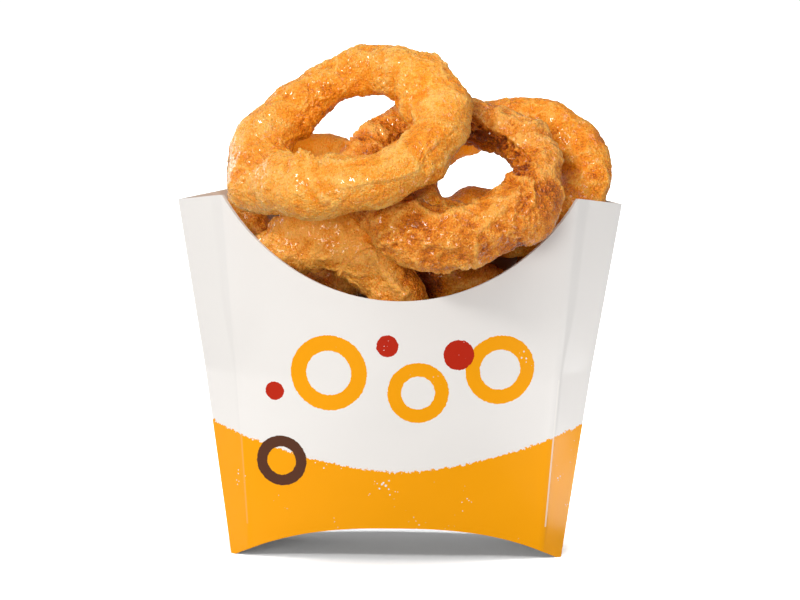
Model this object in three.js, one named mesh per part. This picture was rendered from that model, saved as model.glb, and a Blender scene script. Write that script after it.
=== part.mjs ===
// Onion rings side: nine battered, fried onion rings heaped in a paperboard scoop carton.
// Millimetres, +Z up, X across the carton, the scooped front panel towards -Y.
// The origin is on the floor, under the middle of the whole heap, whose top rings hang forward.
import * as THREE from "three";
import { mergeVertices } from "three/addons/utils/BufferGeometryUtils.js";

// ---------------------------------------------------------------- carton sizes
const FOOT_HALF_WIDTH = 46.3; // half the carton's width at the floor
const MOUTH_HALF_WIDTH = 62.4; // half the width it would have at MOUTH_HEIGHT
const MOUTH_HEIGHT = 100;
const EAR_OUTER_HEIGHT = 98.6; // where the rim meets the side folds
const EAR_INNER_HEIGHT = 100.9; // top corner of each ear, where the scoop starts
const EAR_INNER_X = 48.9;
const SCORE_FOOT_X = 41; // the side score line meets the floor here and aims at the ear's corner
const FRONT_SCOOP_LOW = 73.4; // lowest point of the front rim
const BACK_SCOOP_LOW = 88; // lowest point of the back rim
const FOOT_HALF_DEPTH = 18; // how far front and back stand apart, at the floor
const MOUTH_HALF_DEPTH = 27; // and at MOUTH_HEIGHT
const GUSSET_HALF_DEPTH = 11; // half the length of the two feet
const GUSSET_HEIGHT = 51; // the side folds are sharp above this
const FOLD_HALF_DEPTH = 0.75; // two boards folded together
const ARCH_HEIGHT = 9.4; // rise of the bottom panel
const ARCH_POWER = 2.4;
const BOARD = 0.7;
const FOLD_WIDTH = 1; // board lying in the side fold, measured along X
const INNER_GAP = 0.15; // the inner faces never quite meet in the fold
const SCORE_SHARE_FOOT = 0.36; // share of the bow that is left at the score line
const SCORE_SHARE_MOUTH = 0.417;
const FOOT_STATION = 1.75; // outside this station the bottom panel lies flat on the floor
const WALL_ROWS = 12;
const SET_BACK = 6.8; // the carton's middle stands this far behind the origin

// ---------------------------------------------------------------- ring sizes
const AROUND = 48; // facets round a ring
const ACROSS = 12; // facets round its crust
// at: centre, measured from the carton's middle; tilt: how far the flat ring is tipped up towards
// the front; roll: its right end lifted; turn: swung about Z (degrees). size: half lengths of the
// oval centre line; bend: which way it strays from an oval (degrees) and how far. crust: half width
// in the ring's plane and half height across it; uneven: where round the ring the crust is thicker
// or thinner (degrees), and by what share. crest: a ragged ridge of batter, its place round the ring
// and across the crust (degrees) and its height. hollows: where the crust is drawn in, or swollen if
// the height is above 0: place round and across, height, and how far it spreads round and across.
const RINGS = {
  ring_top: {
    at: [-14, -13.8, 118.7], tilt: 38, roll: 22, turn: 0,
    size: [25, 21.6], bend: [285, 0.05], crust: [9.2, 7.2], uneven: [100, -0.24],
    crest: [-130, 120, 0.9], seed: 3,
    hollows: [
      [290, 165, -4.2, 30, 60], [325, 175, -2.2, 26, 60], [338, 20, 1.6, 26, 50],
      [15, 40, -1, 25, 50], [192, -20, 2.4, 18, 60], [115, 195, 1.4, 28, 50],
      [42, 180, -1.2, 20, 50],
    ],
  },
  ring_right: {
    at: [13.9, -12.2, 106.2], tilt: 44, roll: 1, turn: -5,
    size: [23.8, 20.7], bend: [45, 0.025], crust: [7.7, 6.9], uneven: [-105, 0.18],
    crest: [268, -25, 1.3], seed: 7,
    hollows: [
      [303, -20, -1.3, 30, 60], [10, 0, -1.6, 35, 60], [80, 200, -3.5, 45, 60],
      [140, 190, -2.6, 30, 60], [213, 0, -2.8, 22, 80],
      [322, -25, 2.4, 22, 50],
    ],
  },
  ring_back: {
    at: [28.6, 8.9, 105], tilt: 53, roll: 2.5, turn: -8,
    size: [25.1, 18.8], bend: [300, 0.012], crust: [7, 6.4], uneven: [180, -0.05],
    crest: [40, 60, 0.6], seed: 11,
    hollows: [
      [2, 300, -3.2, 30, 60], [300, 290, -2.4, 35, 60], [176, 319, -1.1, 25, 50],
      [280, 100, 2.2, 34, 55], [5, 180, 1.4, 20, 50],
    ],
  },
  ring_front_left: {
    at: [-18.9, -11, 70.7], tilt: 87, roll: -29, turn: -9,
    size: [19.9, 16.3], bend: [226, 0.025], crust: [7.1, 6.2], uneven: [40, 0.05],
    crest: [55, 45, 1.5], seed: 19,
    hollows: [
      [235, 75, -1.9, 45, 70], [165, 60, 1.6, 22, 60], [132, 8, 2.2, 24, 60], [106, 0, 1.2, 16, 50],
    ],
  },
  ring_under_top: {
    at: [-25.2, 11, 90.8], tilt: 91, roll: 7, turn: 19,
    size: [19.4, 19.4], bend: [46, 0.025], crust: [6.3, 6], uneven: [0, 0],
    crest: [80, 20, 0.8], seed: 23,
    hollows: [[123, 55, 2.2, 20, 40]],
  },
  ring_back_right: {
    at: [23.3, 11.3, 78.5], tilt: 80, roll: 1, turn: -17,
    size: [17.3, 17.1], bend: [46, 0.025], crust: [6.4, 6.1], uneven: [0, 0],
    crest: [100, 90, 0.6], seed: 31,
  },
  ring_deep_right: {
    at: [14.6, -2.4, 61], tilt: 84, roll: 21, turn: -14,
    size: [18.5, 16.5], bend: [136, 0.025], crust: [6.4, 6.1], uneven: [0, 0],
    crest: [70, 30, 0.7], seed: 37,
  },
  ring_low_left: {
    at: [-25.5, 5.6, 33], tilt: 81, roll: -1, turn: 18,
    size: [17.5, 17.5], bend: [316, 0.025], crust: [6.4, 6.1], uneven: [0, 0],
    crest: [200, 60, 0.5], seed: 41,
  },
  ring_low_right: {
    at: [21.2, 3, 32.9], tilt: 62, roll: 12, turn: -13,
    size: [17.5, 17.5], bend: [227, 0.025], crust: [6.4, 6.1], uneven: [0, 0],
    crest: [300, 80, 0.5], seed: 43,
  },
};
// Waves of the crust: how often each runs round the ring and across it, and its height as a share
// of the crust's half width. The long ones make the ring uneven, the short ones are its crags.
const CRUST_WAVES = [
  [2, 1, 0.045], [3, 0, 0.04], [4, 2, 0.03], [5, 1, 0.035], [7, 2, 0.03],
  [9, 1, 0.025], [11, 3, 0.022], [13, 2, 0.022], [16, 1, 0.018],
];
const WARP = 0.9; // how far the centre line leaves its plane
const UNEVEN_SPREAD = 60; // degrees round the ring
const CREST_SPREAD = 26; // degrees round the ring
const CREST_SHARPNESS = 30; // degrees across the crust

// ---------------------------------------------------------------- colours
const BOARD_COLOUR = 0xe8e2dc;
const CRUST_COLOURS = {
  ring_top: 0xe59c47,
  ring_right: 0xcd8238,
  ring_back: 0xe0933c,
  ring_front_left: 0xd48b3e,
};
const SHADED_CRUST = 0xc27a33;

// ---------------------------------------------------------------- surfaces
const mix = (a, b, t) => a + (b - a) * t;
const clamp01 = (t) => Math.min(1, Math.max(0, t));
const radians = THREE.MathUtils.degToRad;

// Two triangles for each cell of a grid of points; flip turns them round.
function addGrid(corners, rows, columns, point, flip = false) {
  for (let i = 0; i < rows; i++) {
    for (let j = 0; j < columns; j++) {
      const a = point(i, j);
      const b = point(i, j + 1);
      const c = point(i + 1, j + 1);
      const d = point(i + 1, j);
      const cell = flip ? [a, c, b, a, d, c] : [a, b, c, a, c, d];
      cell.forEach((p) => corners.push(...p));
    }
  }
}

function closedGeometry(corners) {
  const loose = new THREE.BufferGeometry();
  loose.setAttribute("position", new THREE.Float32BufferAttribute(corners, 3));
  const whole = mergeVertices(loose, 1e-4);
  whole.computeVertexNormals();
  return whole;
}

// ---------------------------------------------------------------- carton
const halfWidth = (z) => mix(FOOT_HALF_WIDTH, MOUTH_HALF_WIDTH, z / MOUTH_HEIGHT);
const scoreX = (z) => mix(SCORE_FOOT_X, EAR_INNER_X, z / EAR_INNER_HEIGHT);

// A station is a place across a panel: 0 its middle, 1 the score line, 2 the side fold.
function stationX(station, z) {
  const away = Math.abs(station);
  const x = away <= 1 ? away * scoreX(z) : mix(scoreX(z), halfWidth(z), away - 1);
  return Math.sign(station) * x;
}

// Each panel bows out from the side folds, and is bent a little at the score lines.
function halfDepth(station, z) {
  const away = Math.abs(station);
  const open = clamp01(1 - z / GUSSET_HEIGHT);
  const edge = mix(FOLD_HALF_DEPTH, GUSSET_HALF_DEPTH, open);
  const deepest = mix(FOOT_HALF_DEPTH, MOUTH_HALF_DEPTH, z / MOUTH_HEIGHT);
  const atScore = mix(SCORE_SHARE_FOOT, SCORE_SHARE_MOUTH, z / EAR_INNER_HEIGHT);
  const outside = away - 1;
  const share =
    away <= 1
      ? atScore + (1 - atScore) * (1 - away * away)
      : atScore * (1 - outside) * (1 + 0.134 * outside);
  return edge + (deepest - edge) * share;
}

// The rim is a round scoop between the ears, whose tops fall away to the side folds.
function rimHeight(x, lowest) {
  const away = Math.abs(x);
  const drop = EAR_INNER_HEIGHT - lowest;
  const radius = (EAR_INNER_X ** 2 + drop ** 2) / (2 * drop);
  if (away <= EAR_INNER_X) return lowest + radius - Math.sqrt(radius ** 2 - away ** 2);
  const along = (away - EAR_INNER_X) / (halfWidth(EAR_OUTER_HEIGHT) - EAR_INNER_X);
  return mix(EAR_INNER_HEIGHT, EAR_OUTER_HEIGHT, along);
}

function rimAtStation(station, lowest) {
  if (Math.abs(station) === 1) return EAR_INNER_HEIGHT;
  let z = EAR_OUTER_HEIGHT;
  for (let i = 0; i < 8; i++) z = rimHeight(stationX(station, z), lowest);
  return z;
}

// The bottom panel is a barrel vault between two flat feet.
function archHeight(station) {
  const share = Math.abs(stationX(station, 0)) / stationX(FOOT_STATION, 0);
  return share >= 1 ? 0 : ARCH_HEIGHT * (1 - share ** ARCH_POWER);
}

const STATIONS = [-2, -FOOT_STATION, -1.4];
for (let i = -8; i <= 8; i++) STATIONS.push(i / 8);
STATIONS.push(1.4, FOOT_STATION, 2);

// The carton's outline from above: the front panel, the right fold, the back panel, the left fold.
const OUTLINE = [
  ...STATIONS.map((station) => ({ station, side: -1, lowest: FRONT_SCOOP_LOW })),
  { station: 2, side: 0, lowest: FRONT_SCOOP_LOW },
  ...STATIONS.map((s) => ({ station: -s, side: 1, lowest: BACK_SCOOP_LOW })),
  { station: -2, side: 0, lowest: FRONT_SCOOP_LOW },
];

function wallPoint({ station, side, lowest }, row, inner) {
  const foot = archHeight(station) + (inner ? BOARD : 0);
  const z = mix(foot, rimAtStation(station, lowest), row / WALL_ROWS);
  const squeeze = inner ? (halfWidth(z) - FOLD_WIDTH) / halfWidth(z) : 1;
  const depth = halfDepth(station, z);
  const y = inner ? Math.max(depth - BOARD, INNER_GAP) : depth;
  return [stationX(station, z) * squeeze, side * y, z];
}

function bottomPoint(row, index, inner) {
  const station = STATIONS[index];
  const place = { station, side: row - 1, lowest: FRONT_SCOOP_LOW };
  return wallPoint(place, 0, inner);
}

function cartonGeometry() {
  const corners = [];
  const round = OUTLINE.length;
  const wall = (inner) => (i, j) => wallPoint(OUTLINE[j % round], i, inner);
  const rim = (i, j) => wallPoint(OUTLINE[j % round], WALL_ROWS, i === 1);
  addGrid(corners, WALL_ROWS, round, wall(false));
  addGrid(corners, WALL_ROWS, round, wall(true), true);
  addGrid(corners, 1, round, rim);
  addGrid(corners, 2, STATIONS.length - 1, (i, j) => bottomPoint(i, j, false), true);
  addGrid(corners, 2, STATIONS.length - 1, (i, j) => bottomPoint(i, j, true));
  return closedGeometry(corners);
}

// ---------------------------------------------------------------- rings
// A repeatable stream of numbers from 0 to 1.
function randomStream(seed) {
  let state = seed * 7919;
  return () => {
    state = (state * 48271) % 2147483647;
    return state / 2147483647;
  };
}

const bell = (degrees, spread) => {
  const wrapped = ((((degrees + 180) % 360) + 360) % 360) - 180;
  return Math.exp(-((wrapped / spread) ** 2));
};

// The crust is carried round an oval: a point leaves the centre line outwards by width * cos(b)
// and upwards by height * sin(b), both swollen by the waves, the crest and the hollows.
function ringGeometry({ size, bend, crust, uneven, crest, hollows = [], seed }) {
  const random = randomStream(seed);
  const phases = CRUST_WAVES.map(() => random() * 2 * Math.PI);
  const point = (i, j) => {
    const a = ((j % AROUND) / AROUND) * 2 * Math.PI;
    const b = ((i % ACROSS) / ACROSS) * 2 * Math.PI;
    const degreesRound = THREE.MathUtils.radToDeg(a);
    const degreesAcross = THREE.MathUtils.radToDeg(b);
    const swell = 1 + bend[1] * Math.sin(3 * a + radians(bend[0]));
    const outward = new THREE.Vector2(size[1] * Math.cos(a), size[0] * Math.sin(a)).normalize();
    let bulge = 1 + uneven[1] * bell(degreesRound - uneven[0], UNEVEN_SPREAD);
    CRUST_WAVES.forEach(([round, across, height], n) => {
      bulge += height * Math.sin(round * a + across * b + phases[n]);
    });
    let ridge =
      crest[2] *
      bell(degreesRound - crest[0], CREST_SPREAD) *
      bell(degreesAcross - crest[1], CREST_SHARPNESS);
    hollows.forEach(([round, across, height, roundSpread, acrossSpread]) => {
      ridge +=
        height * bell(degreesRound - round, roundSpread) * bell(degreesAcross - across, acrossSpread);
    });
    const out = (crust[0] * bulge + ridge) * Math.cos(b);
    const up = (crust[1] * bulge + ridge) * Math.sin(b);
    return [
      size[0] * swell * Math.cos(a) + outward.x * out,
      size[1] * swell * Math.sin(a) + outward.y * out,
      WARP * Math.sin(2 * a + radians(bend[0])) + up,
    ];
  };
  const corners = [];
  addGrid(corners, ACROSS, AROUND, point);
  return closedGeometry(corners);
}

function ringMesh(name, ring) {
  const material = new THREE.MeshStandardMaterial({
    color: CRUST_COLOURS[name] ?? SHADED_CRUST,
    roughness: 0.55,
    metalness: 0,
  });
  const mesh = new THREE.Mesh(ringGeometry(ring), material);
  mesh.name = name;
  mesh.position.set(...ring.at);
  mesh.rotation.set(radians(ring.tilt), radians(-ring.roll), radians(ring.turn), "ZYX");
  return mesh;
}

// ---------------------------------------------------------------- the side
const heap = new THREE.Group();
heap.position.y = SET_BACK;
const board = new THREE.MeshStandardMaterial({
  color: BOARD_COLOUR,
  roughness: 0.35,
  metalness: 0,
});
const carton = new THREE.Mesh(cartonGeometry(), board);
carton.name = "carton";
heap.add(carton);
Object.entries(RINGS).forEach(([name, ring]) => heap.add(ringMesh(name, ring)));

const side = new THREE.Group();
side.add(heap);

export default side;
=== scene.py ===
# %% [markdown]
# # Onion rings in a paperboard scoop carton
# The real thing is nine battered rings heaped in a folded carton. This file dresses the measured
# solids of that heap: every solid is replaced by a finer piece with the same main form, and each
# piece gets a material with the grain, gloss and wear of the real one. Lengths are written in
# millimetres where a maker would measure them and turned into metres when a mesh is made.

# %% Load the measured solids
from functools import partial
import itertools
import math

import bmesh
import bpy
import numpy as np
from mathutils import Matrix, Vector


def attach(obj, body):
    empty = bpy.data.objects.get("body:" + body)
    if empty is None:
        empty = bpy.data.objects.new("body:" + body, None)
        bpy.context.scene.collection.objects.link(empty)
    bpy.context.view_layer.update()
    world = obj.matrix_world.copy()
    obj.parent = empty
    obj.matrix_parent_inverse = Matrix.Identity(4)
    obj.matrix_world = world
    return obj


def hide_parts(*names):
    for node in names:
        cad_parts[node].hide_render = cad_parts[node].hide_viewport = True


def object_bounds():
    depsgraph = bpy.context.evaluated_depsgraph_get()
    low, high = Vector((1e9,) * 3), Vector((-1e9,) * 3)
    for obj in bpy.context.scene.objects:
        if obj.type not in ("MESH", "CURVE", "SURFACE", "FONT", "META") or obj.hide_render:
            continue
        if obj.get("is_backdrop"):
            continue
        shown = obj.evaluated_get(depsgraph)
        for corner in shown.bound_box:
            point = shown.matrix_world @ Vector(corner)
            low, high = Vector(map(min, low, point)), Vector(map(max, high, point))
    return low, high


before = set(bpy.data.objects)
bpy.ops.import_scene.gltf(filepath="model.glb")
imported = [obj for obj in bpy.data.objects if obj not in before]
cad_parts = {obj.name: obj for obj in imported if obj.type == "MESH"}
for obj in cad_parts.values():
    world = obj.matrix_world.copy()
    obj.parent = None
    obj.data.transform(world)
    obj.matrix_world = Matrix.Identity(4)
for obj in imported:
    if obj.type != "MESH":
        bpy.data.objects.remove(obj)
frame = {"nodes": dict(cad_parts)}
solid_box = [list(corner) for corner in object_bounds()]
MM = 0.001
SET_BACK = 6.8  # the carton's middle stands this far behind the middle of the whole heap
print("solids:", ", ".join(frame["nodes"]))

# %% [markdown]
# ## The studio
# Such a side is shot on a white sweep under large soft lamps, the brightest high on the left. Here
# those lamps are suns with a wide disc, which light a floor of any size evenly. A small panel that
# lies on the floor lifts the carton's right-hand side, as a white card would, and one behind on the
# left draws a thin light along the edges. The camera looks down a little through a long lens, so
# the carton hardly narrows with distance.

# %% Camera
CAMERA_PLACE = (0, -593.2, 146)     # mm
CAMERA_DOWN = 7.0                   # degrees below level
CAMERA_LEAN = 0.65                  # degrees that the picture turns clockwise
SENSOR_WIDTH, LENS = 36, 96.57      # mm
PICTURE_SHIFT = (0.00125, -0.0069)  # right and up, as shares of the picture's width
camera = bpy.data.objects.new("camera", bpy.data.cameras.new("camera"))
bpy.context.scene.collection.objects.link(camera)
camera.matrix_world = (Matrix.Translation([c * MM for c in CAMERA_PLACE])
                       @ Matrix.Rotation(math.radians(90 - CAMERA_DOWN), 4, "X")
                       @ Matrix.Rotation(math.radians(CAMERA_LEAN), 4, "Z"))
camera.data.sensor_width, camera.data.lens = SENSOR_WIDTH, LENS
camera.data.shift_x, camera.data.shift_y = PICTURE_SHIFT
camera.data.clip_start, camera.data.clip_end = 0.01, 100
bpy.context.scene.camera = camera
bpy.context.scene.view_settings.view_transform = "Standard"
print("camera at", CAMERA_PLACE, "mm")

# %% Lamps
def hang_lamp(light, place, towards, lights_only=()):
    """Put a lamp at place, metres. Its light comes from the direction towards = (x, y, z) as seen
    from what it lights, so its own -Z axis points the opposite way. Where lights_only lists
    pieces, it lights nothing else."""
    holder = bpy.data.objects.new(light.name, light)
    holder.matrix_world = (Matrix.Translation(place)
                           @ Vector(towards).to_track_quat("Z", "Y").to_matrix().to_4x4())
    bpy.context.scene.collection.objects.link(holder)
    if lights_only:
        lit = bpy.data.collections.new("lit by the " + light.name)
        for piece in lights_only:
            lit.objects.link(piece)
        holder.light_linking.receiver_collection = lit
    return holder


def soft_sun(name, strength, width, towards, colour=(1, 1, 1), lights_only=()):
    """A sun whose disc is width degrees across."""
    light = bpy.data.lights.new(name, "SUN")
    light.energy, light.angle, light.color = strength, math.radians(width), colour
    hang_lamp(light, (0, 0, 0), towards, lights_only)


def lamp_panel(name, watts, size, place, aim):
    """A flat white lamp, size = (across, up) in metres, at place and facing the point aim. The
    camera doesn't see the panel itself."""
    light = bpy.data.lights.new(name, "AREA")
    light.shape, light.energy = "RECTANGLE", watts
    light.size, light.size_y = size
    hang_lamp(light, place, Vector(place) - Vector(aim)).visible_camera = False


WARM_WHITE = (1, 0.99, 0.97)
soft_sun("key lamp", 1.7, 10, (-0.68, -0.65, 0.78), WARM_WHITE)
soft_sun("front lamp", 1.3, 24, (-0.34, -1, 0.25), WARM_WHITE)
soft_sun("top lamp", 0.85, 34, (0.4, -0.2, 1))
lamp_panel("side panel", 0.11, (0.15, 0.09), (0.155, -0.035, 0.004), (0.155, -0.035, 1))
lamp_panel("rim panel", 1.2, (0.3, 0.3), (-0.5, 0.42, 0.25), (-0.02, 0, 0.1))

# %% [markdown]
# ## Helpers for node trees
# A material or a world is a tree of nodes, and each node, number and link could be a line of its
# own. These few helpers take that up, so the trees below read like the formulas that they are.

# %% Helpers for node trees
def feed(socket, value):
    """Give a socket a number or a colour, or link another node's output to it."""
    if isinstance(value, bpy.types.NodeSocket):
        socket.id_data.links.new(value, socket)
    else:
        socket.default_value = value


def give(node, **values):
    """Set a node's own settings, and feed its sockets by name, with _ for each space."""
    for key, value in values.items():
        if key in node.bl_rna.properties:
            setattr(node, key, value)
        else:
            feed(node.inputs[key.replace("_", " ")], value)
    return node


def put(tree, kind, **values):
    """Add a node of that kind and give it those values."""
    return give(tree.nodes.new("ShaderNode" + kind), **values)


def sums(operation, first, second=0.0):
    """One step of arithmetic, in the tree of the side that is another node's output."""
    tree = (first if isinstance(first, bpy.types.NodeSocket) else second).id_data
    made = put(tree, "Math", operation=operation)
    feed(made.inputs[0], first)
    feed(made.inputs[1], second)
    return made.outputs[0]


OPERATIONS = ("ADD", "SUBTRACT", "MULTIPLY", "LESS_THAN", "GREATER_THAN")
add, minus, times, below, above = (partial(sums, operation) for operation in OPERATIONS)


def ease(value, start, end, low=0.0, high=1.0):
    """A smooth S from low to high while the value goes from start to end."""
    return put(value.id_data, "MapRange", interpolation_type="SMOOTHSTEP", Value=value,
               From_Min=start, From_Max=end, To_Min=low, To_Max=high).outputs["Result"]


def new_finish(name, **values):
    """A new material, and its shader with those values."""
    material = bpy.data.materials.new(name)
    material.use_nodes = True
    return material, give(material.node_tree.nodes["Principled BSDF"], **values)


print("arithmetic:", ", ".join(OPERATIONS).lower())

# %% [markdown]
# The white around the object is the world's colour. The camera sees it pure white, while the
# object is lit by a dimmer grey, because in a real studio the room behind the lamps is dark and
# that is what leaves deep shade between the rings.

# %% White surroundings
world = bpy.data.worlds.new("studio")
bpy.context.scene.world = world
world.use_nodes = True
sky = world.node_tree
sky.nodes.clear()
room = put(sky, "Background", Color=(0.93, 0.95, 1, 1), Strength=0.25)
seen = put(sky, "Background", Color=(1, 1, 1, 1), Strength=1.05)
pick = put(sky, "MixShader", Fac=put(sky, "LightPath").outputs["Is Camera Ray"])
feed(pick.inputs[1], room.outputs[0])
feed(pick.inputs[2], seen.outputs[0])
put(sky, "OutputWorld", Surface=pick.outputs[0])
print("the world is a tree of", len(sky.nodes), "nodes")

# %% [markdown]
# The floor is a sheet of paper. Looked at directly it is white and glows a little; by its bounce it
# is a dull grey, so that it doesn't fill the shade between the rings. A lamp straight above lights
# the sheet only, and the carton's shade on it stays under the carton.

# %% Floor
FLOOR_REACH = 40.0  # metres from the middle to each edge
floor_mesh = bpy.data.meshes.new("floor")
floor_corners = [(x * FLOOR_REACH, y * FLOOR_REACH, 0) for x, y in ((-1, -1), (1, -1), (1, 1), (-1, 1))]
floor_mesh.from_pydata(floor_corners, [], [(0, 1, 2, 3)])
floor = bpy.data.objects.new("floor", floor_mesh)
bpy.context.scene.collection.objects.link(floor)
white_sweep, paper = new_finish("white sweep", Roughness=0.9, Specular_IOR_Level=0.1,
                                Emission_Color=(1, 1, 1, 1))
looked_at = put(white_sweep.node_tree, "LightPath").outputs["Is Camera Ray"]
give(paper, Emission_Strength=ease(looked_at, 0, 1, 0, 0.08), Base_Color=ease(looked_at, 0, 1, 0.12, 0.9))
floor_mesh.materials.append(white_sweep)
floor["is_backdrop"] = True
soft_sun("floor lamp", 6.0, 28, (0, 0, 1), lights_only=[floor])
print("floor", 2 * FLOOR_REACH, "m wide")

# %% [markdown]
# ## Noise to shape batter with
# Fried batter is lumpy at every size. Blender's Displace modifier could do this, but a piece that
# is worked out as whole numpy arrays needs no modifier and comes out the same each time. Two kinds
# of noise are enough: smooth swells, and scattered crumbs.

# %% Noise as whole arrays
def corner_arrows(corner, seed):
    """A fixed arrow for each whole-numbered lattice corner: the corner's three numbers are mixed
    by multiplying and shifting bits, and three 10-bit pieces of the result become x, y and z,
    each from -1 to 1."""
    x, y, z = (corner[..., i] for i in range(3))
    mixed = ((x * 73856093) ^ (y * 19349663) ^ (z * 83492791) ^ (seed * 40503)) & 0xFFFFFFFF
    for _ in range(2):
        mixed = ((mixed ^ (mixed >> 16)) * 0x45D9F3B) & 0xFFFFFFFF
    mixed ^= mixed >> 16
    return np.stack([mixed & 1023, (mixed >> 10) & 1023, (mixed >> 20) & 1023], -1) / 511.5 - 1


def swells(points, seed):
    """Smooth noise, about -1 to 1: at each of the eight lattice corners round a point, the
    corner's arrow is multiplied with the offset from that corner, and the eight results are
    blended by how near each corner is."""
    corner = np.floor(points).astype(np.int64)
    offset = points - corner
    far_share = offset ** 3 * (offset * (offset * 6 - 15) + 10)
    total = np.zeros(points.shape[:-1])
    for step in itertools.product((0, 1), repeat=3):
        near = np.where(step, far_share, 1 - far_share).prod(-1)
        total += near * (corner_arrows(corner + np.array(step), seed) * (offset - step)).sum(-1)
    return 1.4 * total


def crumbs(points, seed):
    """Distance, in cells, to the nearest of the scattered grains: each lattice cell has one grain,
    and a point looks into its own cell and the 26 round it."""
    cell = np.floor(points).astype(np.int64)
    nearest = np.full(points.shape[:-1], 9.0)
    for step in itertools.product((-1, 0, 1), repeat=3):
        beside = cell + np.array(step)
        gap = np.linalg.norm(points - beside - 0.5 - 0.45 * corner_arrows(beside, seed), axis=-1)
        nearest = np.minimum(nearest, gap)
    return nearest


def rise(low, high, value):
    """0 up to low, 1 from high on, and a smooth S between them. With low above high it falls."""
    share = np.clip((value - low) / (high - low), 0, 1)
    return share * share * (3 - 2 * share)


probe = swells(np.random.default_rng(1).uniform(-50, 50, (20000, 3)), 5)
print("swells run from %.2f to %.2f" % (probe.min(), probe.max()))

# %% Put a grid of points into a mesh
def grid_faces(rows, columns, first=0, closed_rows=False, closed_columns=False):
    """Four-cornered faces over a grid of points numbered row by row from first. A closed grid
    joins its last row or column to its first. Faces turn from rows towards columns."""
    i = np.arange(rows if closed_rows else rows - 1)[:, None]
    j = np.arange(columns if closed_columns else columns - 1)[None, :]
    up, along = (i + 1) % rows, (j + 1) % columns
    corners = np.broadcast_arrays(i * columns + j, up * columns + j,
                                  up * columns + along, i * columns + along)
    return first + np.stack(corners, -1).reshape(-1, 4)


def piece_from(name, points, faces, face_material=None):
    """A smooth-shaded object from points in millimetres about the carton's middle. The set-back
    and the change to metres are applied here, so the object itself stays at the origin."""
    mesh = bpy.data.meshes.new(name)
    placed = (points.reshape(-1, 3) + (0, SET_BACK, 0)) * MM
    mesh.vertices.add(len(placed))
    mesh.vertices.foreach_set("co", placed.ravel())
    mesh.loops.add(faces.size)
    mesh.loops.foreach_set("vertex_index", faces.ravel().astype(np.int32))
    mesh.polygons.add(len(faces))
    mesh.polygons.foreach_set("loop_start", np.arange(0, faces.size, 4, dtype=np.int32))
    mesh.update(calc_edges=True)
    mesh.polygons.foreach_set("use_smooth", np.ones(len(faces), bool))
    if face_material is not None:
        mesh.polygons.foreach_set("material_index", face_material.astype(np.int32))
    mesh.validate()
    piece = bpy.data.objects.new(name, mesh)
    bpy.context.scene.collection.objects.link(piece)
    print("%s: %d points, %d faces" % (name, len(placed), len(faces)))
    return piece


print("a grid of 3 by 4 points has", len(grid_faces(3, 4)), "faces")

# %% [markdown]
# ## The carton
# The real carton is one sheet of board, creased flat and glued down one side. Pushed open, its
# front and back panels bow outwards between two score lines, its narrow side panels fold along
# their middle, and its bottom panel arches up, so it stands on two feet. A box with a bent
# modifier would lose those folds, so each panel is worked out as a surface: across by stations
# (0 in the middle, 1 at a score line, 2 at the side fold) and upwards from the foot to the rim.

# %% Carton measures, mm
FOOT_HALF_WIDTH, MOUTH_HALF_WIDTH, MOUTH_HEIGHT = 46.3, 62.4, 100
EAR_OUTER_HEIGHT, EAR_INNER_HEIGHT, EAR_INNER_X = 98.6, 100.9, 48.9
SCORE_FOOT_X, FRONT_SCOOP_LOW, BACK_SCOOP_LOW = 41, 73.4, 88
FOOT_HALF_DEPTH, MOUTH_HALF_DEPTH, GUSSET_HALF_DEPTH = 18, 27, 11
GUSSET_HEIGHT, FOLD_HALF_DEPTH = 51, 0.75
ARCH_HEIGHT, ARCH_POWER, FOOT_STATION = 9.4, 2.4, 1.75
SCORE_SHARE_FOOT, SCORE_SHARE_MOUTH = 0.36, 0.417
SHEET_THICKNESS, FOLD_WIDTH, INNER_GAP = 0.5, 0.8, 0.2
BEAD_HEIGHT, BEAD_HALF_WIDTH, FACET_BULGE = 0.16, 0.42, 0.134
print("mouth", 2 * MOUTH_HALF_WIDTH, "mm wide, ears", EAR_INNER_HEIGHT, "mm high")

# %% Carton formulas
def between(low, high, share):
    """The value that lies share of the way from low to high."""
    return low + (high - low) * share


def half_width(z):
    """The side folds spread evenly from the foot to the mouth."""
    return between(FOOT_HALF_WIDTH, MOUTH_HALF_WIDTH, z / MOUTH_HEIGHT)


def score_x(z):
    """The score line leans straight outwards from the foot to the inner ear corner."""
    return between(SCORE_FOOT_X, EAR_INNER_X, z / EAR_INNER_HEIGHT)


def station_x(s, z):
    """Station to distance from the middle: up to the score line in proportion to it, then in
    proportion to what is left to the side fold."""
    out = np.abs(s)
    facet = between(score_x(z), half_width(z), np.clip(out - 1, 0, 1))
    return np.sign(s) * np.where(out <= 1, out * score_x(z), facet)


def bow_share(s, z):
    """How much of the panel's full bow is left at a station: a round arch down to the score line's
    share, then nearly straight down to none at the side fold."""
    at_score = between(SCORE_SHARE_FOOT, SCORE_SHARE_MOUTH, z / EAR_INNER_HEIGHT)
    beyond = np.clip(np.abs(s) - 1, 0, 1)
    return np.where(np.abs(s) <= 1, at_score + (1 - at_score) * (1 - s * s),
                    at_score * (1 - beyond) * (1 + FACET_BULGE * beyond))


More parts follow.
